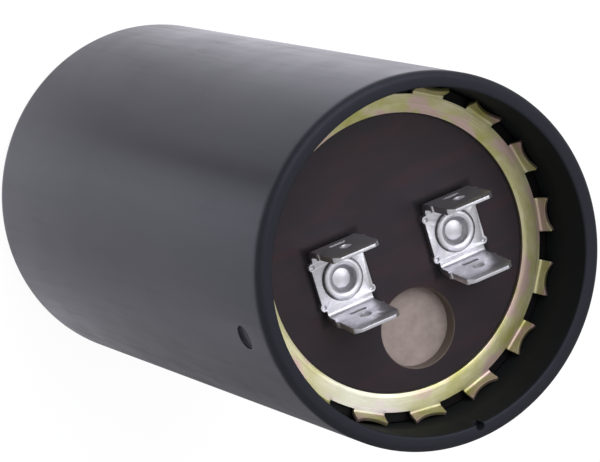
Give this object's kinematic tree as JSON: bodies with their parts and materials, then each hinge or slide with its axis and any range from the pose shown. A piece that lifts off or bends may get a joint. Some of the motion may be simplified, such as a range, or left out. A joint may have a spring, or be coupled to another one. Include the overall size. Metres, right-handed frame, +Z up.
{
  "type": "electrolytic capacitor",
  "caption": "Motor-start capacitor: black moulded cylindrical case, closed by a laminate wafer with riveted push-on blade terminals and a toothed retaining ring.",
  "frame": {"origin": "centre of the closed base's underside", "axes": "+Z up the case's axis to the open mouth, +X from the left terminal to the right one, -Y towards the vent hole"},
  "size_m": [0.046, 0.046, 0.0857],
  "materials": {
    "phenolic": "black moulded phenolic, semi-gloss, faintly mottled",
    "board": "pressed insulating board",
    "foil_roll": "foil and paper turns, soaked with electrolyte",
    "kraft_wrap": "kraft paper",
    "tape": "thin adhesive tape",
    "tab_foil": "soft foil strip",
    "washer_metal": "stamped, plain",
    "rivet_metal": "rolled over, bright",
    "seal_rubber": "tan rubber, matt, dusty",
    "laminate": "brown-black paper laminate, faint streaks",
    "zinc_chromate": "zinc plated and yellow passivated spring steel, green and pink tints",
    "tinned_sheet": "tin plated sheet, satin"
  },
  "bodies": {
    "root": {"case": "phenolic", "bottom_pad": "board", "winding": "foil_roll", "winding_wrap": "kraft_wrap", "closing_tape": "tape", "tab_left": "tab_foil", "tab_right": "tab_foil", "washer_left": "washer_metal", "washer_right": "washer_metal", "rivet_left": "rivet_metal", "rivet_right": "rivet_metal", "seal_disc": "seal_rubber", "wafer": "laminate", "retaining_ring": "zinc_chromate", "terminal_left": "tinned_sheet", "terminal_right": "tinned_sheet"}
  },
  "joints": []
}
